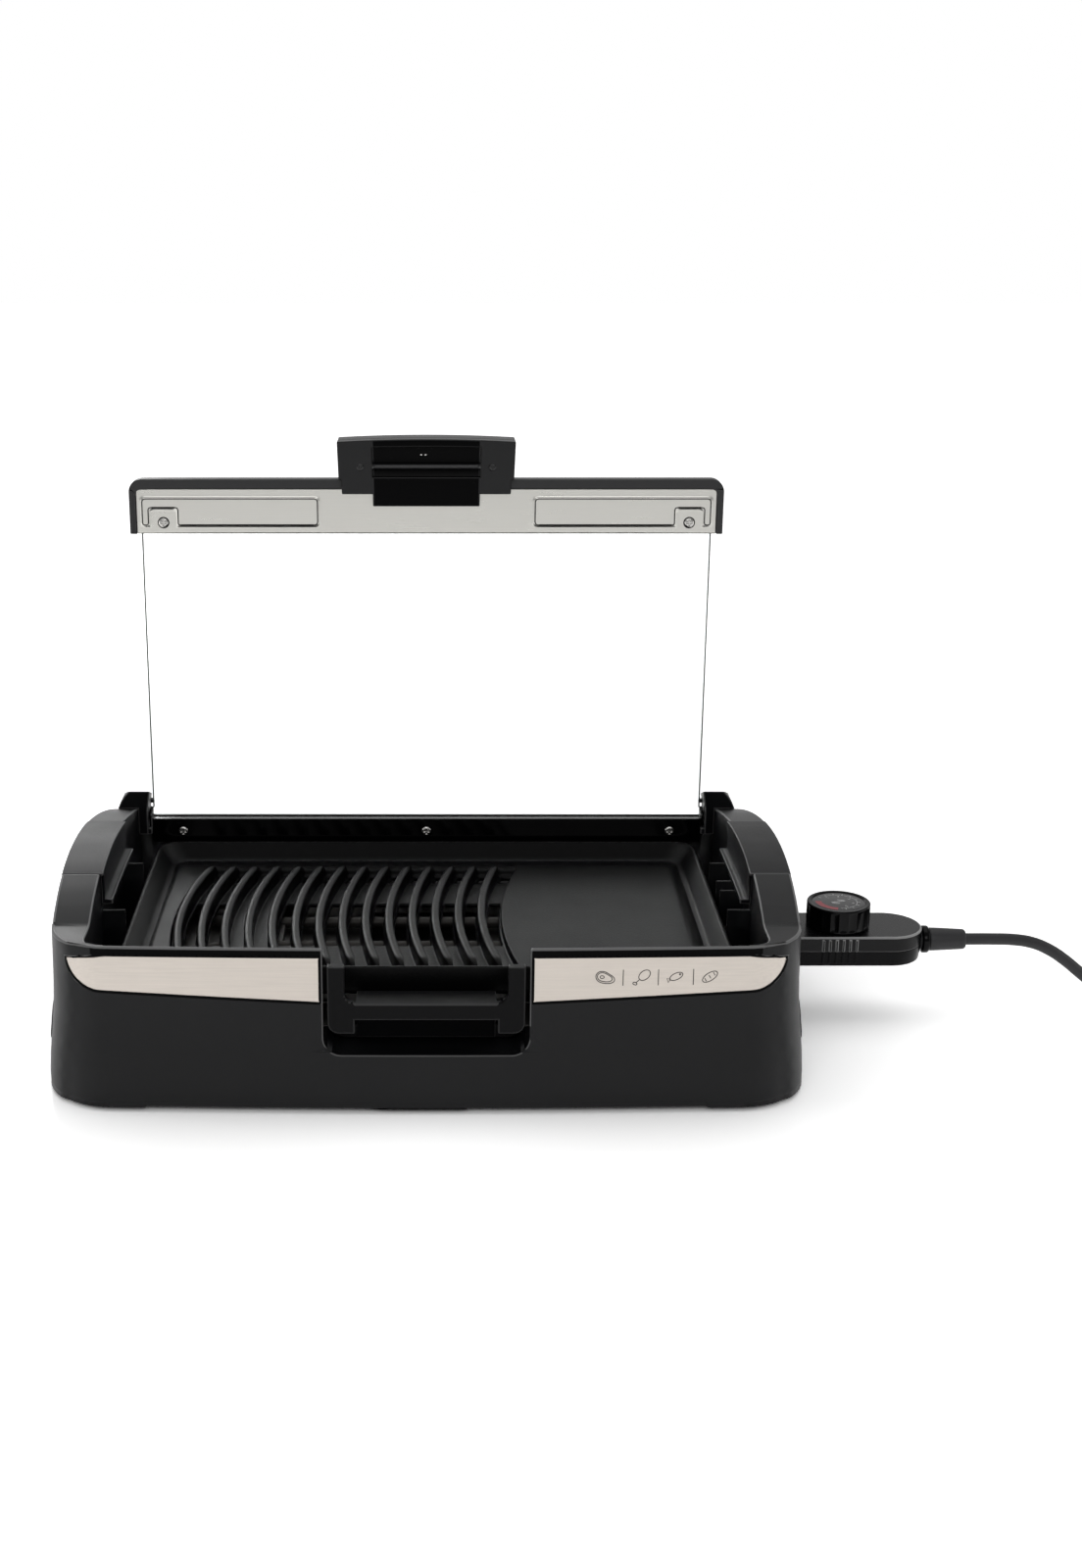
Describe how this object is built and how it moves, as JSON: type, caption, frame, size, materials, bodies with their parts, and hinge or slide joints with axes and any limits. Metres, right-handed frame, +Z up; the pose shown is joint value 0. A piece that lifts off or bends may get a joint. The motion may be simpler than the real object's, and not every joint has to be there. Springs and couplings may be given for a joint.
{
  "type": "electric indoor grill",
  "caption": "Tabletop electric grill with a ribbed and flat cooking plate, hinged glass lid, slide-out drip tray and plug-in temperature controller.",
  "frame": {"origin": "on the table, under the middle of the housing's footprint", "axes": "+X to the controller's side, +Y to the hinged rear, +Z up; the front with the drip tray's handle faces -Y"},
  "size_m": [0.853, 0.3304, 0.3733],
  "materials": {
    "body_plastic": "fine-textured satin black",
    "cover_plastic": "matt black",
    "grip_plastic": "satin dark grey",
    "post_plastic": "semi-gloss black",
    "frame_plastic": "satin black",
    "handle_plastic": "semi-gloss black",
    "rod_plastic": "satin grey-black",
    "rail_plastic": "gloss black",
    "tray_plastic": "satin black",
    "case_plastic": "semi-gloss black",
    "knob_plastic": "gloss black",
    "dial_print": "black disc with a red arc and white marks",
    "nose_bakelite": "matt heat-resistant",
    "ceramic": "matt off-white ceramic",
    "trim_steel": "brushed along its length",
    "screw_steel": "zinc-plated",
    "pin_steel": "polished",
    "sheet_steel": "plain sheet",
    "element_tube": "heat-darkened",
    "plate_coating": "cast, with a dark fine-textured non-stick coating",
    "tray_coating": "dark coated sheet",
    "glass": "clear toughened glass",
    "contact_brass": "plain",
    "foot_rubber": "matt",
    "relief_rubber": "satin",
    "cord_rubber": "satin",
    "tie_plastic": "matt"
  },
  "bodies": {
    "base": {"housing": "body_plastic", "bottom_cover": "cover_plastic", "bottom_screws": "screw_steel", "rubber_feet": "foot_rubber", "trim_plate_left": "trim_steel", "trim_plate_right": "trim_steel", "grip_left": "grip_plastic", "grip_right": "grip_plastic", "side_panel_left": "body_plastic", "side_panel_right": "body_plastic", "hinge_post_left": "post_plastic", "hinge_post_right": "post_plastic", "tray_guide": "sheet_steel", "well_screws": "screw_steel", "reflector_pan": "sheet_steel", "heating_element": "element_tube", "element_supports": "sheet_steel", "terminal_bracket": "sheet_steel", "terminal_insulators": "ceramic", "terminal_pins": "pin_steel", "probe_sleeve": "pin_steel", "grill_plate": "plate_coating"},
    "lid": {"lid_glass": "glass", "lid_frame": "frame_plastic", "inner_strip": "trim_steel", "strip_screws": "screw_steel", "handle_shell": "handle_plastic", "handle_insert": "handle_plastic", "handle_rod": "rod_plastic", "handle_screws": "screw_steel", "hinge_rail": "rail_plastic", "rail_screws": "screw_steel", "hinge_pins": "pin_steel"},
    "drawer": {"drip_tray": "tray_coating", "tray_handle": "tray_plastic", "tray_screws": "screw_steel"},
    "controller": {"case_top": "case_plastic", "case_bottom": "case_plastic", "case_screws": "screw_steel", "plug_nose": "nose_bakelite", "probe_rod": "pin_steel", "contact_sleeves": "contact_brass", "thermostat": "ceramic", "strain_relief": "relief_rubber", "cord_lead": "cord_rubber", "cord_coil": "cord_rubber", "cord_tail": "cord_rubber", "cord_tie": "tie_plastic", "plug_body": "relief_rubber", "plug_pins": "contact_brass"},
    "dial_knob": {"knob": "knob_plastic", "knob_dial": "dial_print", "control_shaft": "pin_steel"}
  },
  "joints": [
    {"name": "lid_hinge", "type": "hinge", "parent": "base", "child": "lid", "pos_m": [0, 0.132, 0.097], "axis": [1, 0, 0], "range_deg": [0, 90]},
    {"name": "tray_slide", "type": "slide", "parent": "base", "child": "drawer", "axis": [0, -1, 0], "range_m": [0, 0.19]},
    {"name": "controller_slide", "type": "slide", "parent": "base", "child": "controller", "axis": [1, 0, 0], "range_m": [0, 0.085]},
    {"name": "knob_turn", "type": "hinge", "parent": "controller", "child": "dial_knob", "pos_m": [0.279, 0, 0.07], "axis": [0, 0, 1], "range_deg": [0, 270]}
  ]
}
